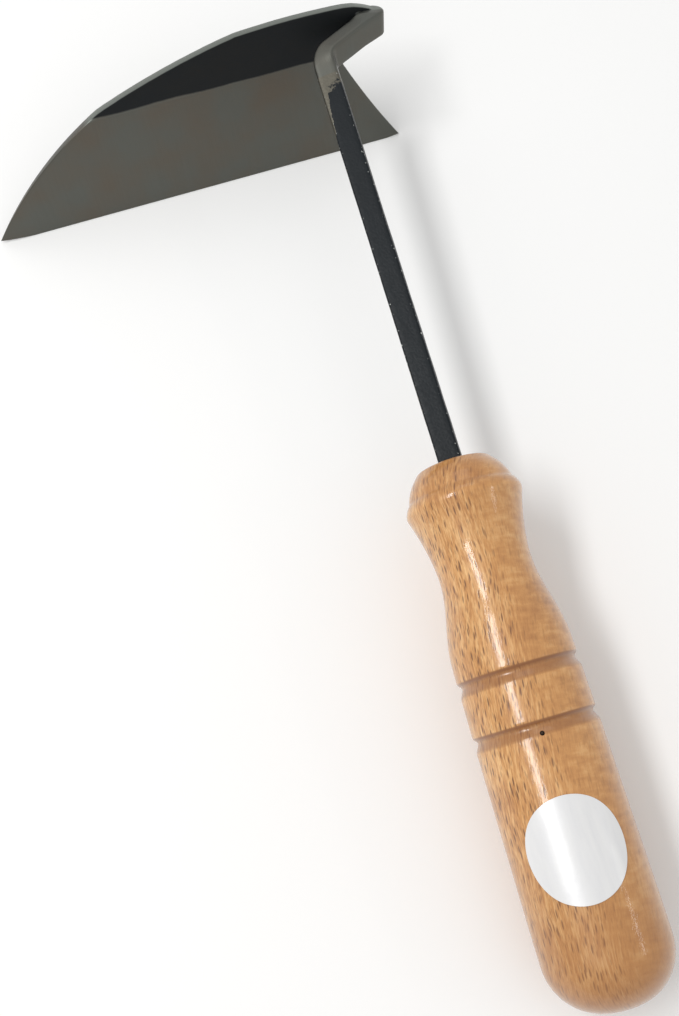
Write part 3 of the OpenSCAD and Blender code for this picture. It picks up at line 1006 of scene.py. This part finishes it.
def lacqueredBeech():
    # turned and lacquered beech: short dark flecks on the flat-sawn side, a calm ripple on the other,
    # all under a clear gloss
    material, tree, shader = newMaterial("beech_turned_lacquered")
    place = addNode(tree, "ShaderNodeAttribute", attribute_name="place")
    groove = addNode(tree, "ShaderNodeAttribute", attribute_name="groove")
    char = addNode(tree, "ShaderNodeAttribute", attribute_name="char")
    grain = addNode(tree, "ShaderNodeMapping", {
        "Vector": place.outputs["Vector"], "Rotation": (0, rad(beech["slope"]), rad(-beech["tilt"])),
    })
    # slow wander, so that no line of grain is straight
    wander = addNode(tree, "ShaderNodeTexNoise", {
        "Vector": grain.outputs[0], "Scale": beech["wanderScale"], "Detail": 2.0,
    })
    sway = addNode(tree, "ShaderNodeVectorMath", {
        0: wander.outputs["Color"], 1: (beech["sway"], beech["sway"], 0.0),
    }, operation="MULTIPLY")
    wood = addNode(tree, "ShaderNodeVectorMath", {0: grain.outputs[0], 1: sway.outputs[0]}, operation="ADD")
    # the figure fades towards the quartered side, where a ripple across the grain takes over
    across = (math.cos(rad(beech["tilt"])), math.sin(rad(beech["tilt"])))
    tangent = Vector((1, 0, 0)) * across[0] + axisUp * across[1]
    geometry = addNode(tree, "ShaderNodeNewGeometry")
    facing = addNode(tree, "ShaderNodeVectorMath", {
        0: geometry.outputs["Normal"], 1: tuple(tangent),
    }, operation="DOT_PRODUCT")
    flatSawn = addNode(tree, "ShaderNodeMapRange", {
        "Value": facing.outputs["Value"], "From Min": beech["quartered"][0],
        "From Max": beech["quartered"][1], "To Min": 1.0, "To Max": beech["quartered"][2],
    })
    farSide = addNode(tree, "ShaderNodeMapRange", {
        "Value": facing.outputs["Value"], "From Min": beech["farSide"][0],
        "From Max": beech["farSide"][1], "To Min": beech["farSide"][2], "To Max": 1.0,
    })
    figured = addNode(tree, "ShaderNodeMath", {
        0: flatSawn.outputs[0], 1: farSide.outputs[0],
    }, operation="MULTIPLY")
    streakPlace = addNode(tree, "ShaderNodeMapping", {
        "Vector": wood.outputs[0], "Scale": (1 / beech["streak"], 0.4, 0.22),
    })
    streaks = addNode(tree, "ShaderNodeTexNoise", {
        "Vector": streakPlace.outputs[0], "Scale": 1.0, "Detail": 4.0, "Roughness": 0.6,
    })
    ripplePlace = addNode(tree, "ShaderNodeMapping", {
        "Vector": wood.outputs[0], "Scale": (0.22, 0.22, 1 / beech["ripple"]),
    })
    ripples = addNode(tree, "ShaderNodeTexNoise", {
        "Vector": ripplePlace.outputs[0], "Scale": 1.0, "Detail": 3.0,
    })
    calm = addNode(tree, "ShaderNodeMath", {
        0: ripples.outputs["Fac"], 1: 0.5, 2: 0.30,
    }, operation="MULTIPLY_ADD")
    figure = addNode(tree, "ShaderNodeMix", {
        "Factor": figured.outputs[0], "A": calm.outputs[0], "B": streaks.outputs["Fac"],
    })
    cloud = addNode(tree, "ShaderNodeTexNoise", {
        "Vector": grain.outputs[0], "Scale": beech["cloudScale"], "Detail": 3.0,
    })
    blend = addNode(tree, "ShaderNodeMix", {
        "Factor": 0.3, "A": figure.outputs[0], "B": cloud.outputs["Fac"],
    })
    tone = addNode(tree, "ShaderNodeValToRGB", {"Fac": blend.outputs[0]})
    setStops(tone, [(0.36, beech["lightHex"]), (0.52, beech["midHex"]), (0.7, beech["deepHex"])])

    def flecks(spacing, low, high, sparse):
        # thin upright plates, cut by the turned face into lens-shaped dashes
        scaled = addNode(tree, "ShaderNodeVectorMath", {
            0: wood.outputs[0], 1: tuple(1 / d for d in spacing),
        }, operation="MULTIPLY")
        cells = addNode(tree, "ShaderNodeTexVoronoi", {
            "Vector": scaled.outputs[0], "Scale": 1.0, "Randomness": 1.0,
        })
        lens = addNode(tree, "ShaderNodeMapRange", {
            "Value": cells.outputs["Distance"], "From Min": low, "From Max": high, "To Min": 1.0,
            "To Max": 0.0,
        })
        pick = addNode(tree, "ShaderNodeSeparateColor", {0: cells.outputs["Color"]})
        kept = addNode(tree, "ShaderNodeMath", {0: pick.outputs[0], 1: sparse}, operation="GREATER_THAN")
        return addNode(tree, "ShaderNodeMath", {
            0: lens.outputs[0], 1: kept.outputs[0],
        }, operation="MULTIPLY")

    bold = flecks(beech["fleck"], *beech["boldFleck"])
    fine = flecks(beech["fineFleck"], *beech["fineFleckSize"])
    fineSoft = addNode(tree, "ShaderNodeMath", {
        0: fine.outputs[0], 1: beech["fineFleckShare"],
    }, operation="MULTIPLY")
    allFlecks = addNode(tree, "ShaderNodeMath", {
        0: bold.outputs[0], 1: fineSoft.outputs[0],
    }, operation="MAXIMUM")
    fleckMask = addNode(tree, "ShaderNodeMath", {
        0: allFlecks.outputs[0], 1: figured.outputs[0],
    }, operation="MULTIPLY")
    fleckPart = addNode(tree, "ShaderNodeMath", {
        0: fleckMask.outputs[0], 1: beech["fleckShare"],
    }, operation="MULTIPLY")
    flecked = addNode(tree, "ShaderNodeMix", {
        "Factor": fleckPart.outputs[0], "A": tone.outputs[0], "B": toLinear(beech["fleckHex"]),
    }, data_type="RGBA")
    poreStep = 0.5 / beech["pore"]
    poreScale = addNode(tree, "ShaderNodeVectorMath", {
        0: wood.outputs[0], 1: (poreStep, poreStep, 0.35),
    }, operation="MULTIPLY")
    pores = addNode(tree, "ShaderNodeTexNoise", {
        "Vector": poreScale.outputs[0], "Scale": 1.0, "Detail": 2.0,
    })
    poreMask = addNode(tree, "ShaderNodeMapRange", {
        "Value": pores.outputs["Fac"], "From Min": 0.52, "From Max": 0.72, "To Min": 0.0,
        "To Max": beech["poreShare"],
    })
    pored = addNode(tree, "ShaderNodeMix", {
        "Factor": poreMask.outputs[0], "A": flecked.outputs[2], "B": toLinear(beech["deepHex"]),
    }, data_type="RGBA")
    # faces turned along the axis go darker, at the butt and on the top face: partly end grain that drinks
    # more lacquer, partly painted shade where the butt curves away from the light
    ends = addNode(tree, "ShaderNodeVectorMath", {
        0: geometry.outputs["Normal"], 1: tuple(shankDir),
    }, operation="DOT_PRODUCT")
    endSize = addNode(tree, "ShaderNodeMath", {0: ends.outputs["Value"]}, operation="ABSOLUTE")
    endGrainAndShade = addNode(tree, "ShaderNodeMapRange", {
        "Value": endSize.outputs[0], "From Min": 0.12, "From Max": 0.8, "To Min": 0.0,
        "To Max": beech["endAndShadeShare"],
    })
    # painted shade: the lower grip goes darker towards the butt, where the light falls off
    split = addNode(tree, "ShaderNodeSeparateXYZ", {0: place.outputs["Vector"]})
    lowGrip = addNode(tree, "ShaderNodeMapRange", {
        "Value": split.outputs["Z"], "From Min": beech["lowGrip"][0], "From Max": beech["lowGrip"][1],
        "To Min": 0.0, "To Max": beech["lowGripShare"],
    })
    buttShaded = addNode(tree, "ShaderNodeMix", {
        "Factor": lowGrip.outputs[0], "A": pored.outputs[2], "B": toLinear(beech["endAndShadeHex"]),
    }, data_type="RGBA")
    endAndShaded = addNode(tree, "ShaderNodeMix", {
        "Factor": endGrainAndShade.outputs[0], "A": buttShaded.outputs[2], "B": toLinear(beech["endAndShadeHex"]),
    }, data_type="RGBA")
    # painted shade: the grooves go darker, most under their steep side
    grooveShaded = addNode(tree, "ShaderNodeMix", {
        "Factor": groove.outputs["Fac"], "A": endAndShaded.outputs[2], "B": toLinear(beech["grooveShadeHex"]),
    }, data_type="RGBA")
    colour = addNode(tree, "ShaderNodeMix", {
        "Factor": char.outputs["Fac"], "A": grooveShaded.outputs[2], "B": toLinear(beech["charHex"]),
    }, data_type="RGBA")
    relief = addNode(tree, "ShaderNodeMath", {
        0: allFlecks.outputs[0], 1: -0.6, 2: pores.outputs["Fac"],
    }, operation="MULTIPLY_ADD")
    bump = addNode(tree, "ShaderNodeBump", {
        "Height": relief.outputs[0], "Strength": beech["bump"][0], "Distance": beech["bump"][1],
    })
    tree.links.new(colour.outputs[2], shader.inputs["Base Color"])
    tree.links.new(bump.outputs[0], shader.inputs["Normal"])
    tree.links.new(bump.outputs[0], shader.inputs["Coat Normal"])
    shader.inputs["Roughness"].default_value = beech["rough"]
    shader.inputs["Coat Weight"].default_value = beech["coat"]
    shader.inputs["Coat Roughness"].default_value = beech["coatRough"]
    return material


handlePiece = buildHandle()
tangHole = loft("tang_hole", barRings(handle["tangGap"], shank["length"] - 2, handle["tangAir"], 2))
combine(handlePiece, tangHole, "DIFFERENCE")
discard(tangHole)
pinRadius = pin["across"] / 2
pinFoot = pinTop - pin["length"]
pinHole = loft("pin_hole", pinRings(pinRadius + pin["gap"], pinTop + 2, pinFoot - pin["gap"], 0.0))
combine(handlePiece, pinHole, "DIFFERENCE")
discard(pinHole)
handlePiece.name = "beech_handle"
grooveShadeMarks = handlePiece.data.attributes.new("groove", "FLOAT", "POINT")
charMarks = handlePiece.data.attributes.new("char", "FLOAT", "POINT")
toHandle = handleFrame.inverted()
for v, dark, burnt in zip(handlePiece.data.vertices, grooveShadeMarks.data, charMarks.data):
    p = toHandle @ v.co
    radius = math.hypot(p.x, p.y)
    # painted shade in each groove, deepest along its steep side
    for start in handle["grooveAt"]:
        if start - handle["lip"] < p.z < start + handle["grooveWide"] + handle["lip"]:
            steepShadePart = smoothStep((start + 0.65 - p.z) / 0.35)
            inside = smoothStep((bandRadius(p.z) - radius) / 0.12)
            dark.value = max(dark.value, inside * (beech["grooveShadeShare"] + beech["steepShadeShare"] * steepShadePart))
    # the hole is burnt all the way down, and its rim on the top face a little less sharply
    inHole = smoothStep((4.6 - radius) / 0.8) if p.z > 0.2 else smoothStep((4.4 - radius) / 1.2)
    burnt.value = inHole * beech["charShare"]
finish(handlePiece, handleFrame, lacqueredBeech(), ["handle"], 50)
print("handle ready", len(handlePiece.data.polygons))


# pin

def wireNail():
    # cut end of a drawn wire nail: dull dark iron, a little brown
    material, tree, shader = newMaterial("wire_nail_cut_end")
    place = addNode(tree, "ShaderNodeAttribute", attribute_name="place")
    rust = addNode(tree, "ShaderNodeTexNoise", {
        "Vector": place.outputs["Vector"], "Scale": pin["rustScale"], "Detail": 5.0,
    })
    tone = addNode(tree, "ShaderNodeValToRGB", {"Fac": rust.outputs["Fac"]})
    setStops(tone, [(0.35, pin["hexes"][0]), (0.7, pin["hexes"][1])])
    bump = addNode(tree, "ShaderNodeBump", {
        "Height": rust.outputs["Fac"], "Strength": 0.4, "Distance": 0.00005,
    })
    tree.links.new(tone.outputs[0], shader.inputs["Base Color"])
    tree.links.new(bump.outputs[0], shader.inputs["Normal"])
    shader.inputs["Metallic"].default_value = pin["metallic"]
    shader.inputs["Roughness"].default_value = pin["rough"]
    return material


pinPiece = loft("tang_nail", pinRings(pinRadius, pinTop, pinFoot, pin["dome"]))
finish(pinPiece, handleFrame, wireNail(), ["tang_pin"])
print("pin ready")


# label

label = {
    "across": 23.6,
    "thick": 0.2,
    "gap": 0.05,
    "along": 93.4,
    "turn": 8.0,
    "rings": 30,
    "segments": 96,
    "foilHex": "#F4F3F1",
    "foilShadeHex": "#E0E0E2",
    "wrinkle": 0.02,        # mm
    "wrinkleSpan": 3.5,
    "rim": 0.04,            # rounding of the cut edge
    "metallic": 0.25,
    "rough": (0.22, 0.42),
}


def buildLabel():
    # a disc laid round the grip: top skin, rounded rim and underside
    rings = []
    levels = []
    outer = label["across"] / 2
    for i in range(1, label["rings"]):
        levels.append((outer * i / label["rings"], label["thick"]))
    levels.append((outer - label["rim"], label["thick"]))
    levels.append((outer, label["thick"] * 0.5))
    levels.append((outer - 0.03, 0.0))
    levels += [(outer * i / label["rings"], 0.0) for i in range(label["rings"] - 1, 0, -1)]
    for r, lift in levels:
        ring = []
        for k in range(label["segments"]):
            angle = 2 * math.pi * k / label["segments"]
            x, y = r * math.cos(angle), r * math.sin(angle)
            t = label["along"] + y
            wrinkle = label["wrinkle"] * noise.noise(Vector((x, y, 0)) / label["wrinkleSpan"])
            height = gripRadius(t) + label["gap"] + lift + wrinkle
            around = x / gripRadius(t) + rad(label["turn"])
            ring.append(handleFrame @ Vector((-height * math.sin(around), height * math.cos(around), t)))
        rings.append(ring)
    return loft("foil_label", rings)


def silverFoil():
    # thin metallised film: bright, with soft grey bands of painted sheen in its colour, standing in for
    # streaky reflections
    material, tree, shader = newMaterial("silver_foil_film")
    place = addNode(tree, "ShaderNodeAttribute", attribute_name="place")
    stretch = addNode(tree, "ShaderNodeMapping", {
        "Vector": place.outputs["Vector"], "Rotation": (0, 0.5, 0), "Scale": (0.5, 0.2, 0.09),
    })
    sheenBands = addNode(tree, "ShaderNodeTexNoise", {"Vector": stretch.outputs[0], "Scale": 1.0, "Detail": 3.0})
    # painted sheen: grey streaks in the film's colour in place of reflections
    tone = addNode(tree, "ShaderNodeMix", {
        "Factor": sheenBands.outputs["Fac"], "A": toLinear(label["foilHex"]),
        "B": toLinear(label["foilShadeHex"]),
    }, data_type="RGBA")
    rough = addNode(tree, "ShaderNodeMapRange", {
        "Value": sheenBands.outputs["Fac"], "To Min": label["rough"][0], "To Max": label["rough"][1],
    })
    fibre = addNode(tree, "ShaderNodeTexNoise", {
        "Vector": place.outputs["Vector"], "Scale": 0.9, "Detail": 4.0,
    })
    bump = addNode(tree, "ShaderNodeBump", {
        "Height": fibre.outputs["Fac"], "Strength": 0.25, "Distance": 0.00006,
    })
    tree.links.new(tone.outputs[2], shader.inputs["Base Color"])
    tree.links.new(rough.outputs[0], shader.inputs["Roughness"])
    tree.links.new(bump.outputs[0], shader.inputs["Normal"])
    shader.inputs["Metallic"].default_value = label["metallic"]
    return material


labelPiece = buildLabel()
finish(labelPiece, handleFrame, silverFoil(), ["label"])
print("label ready")
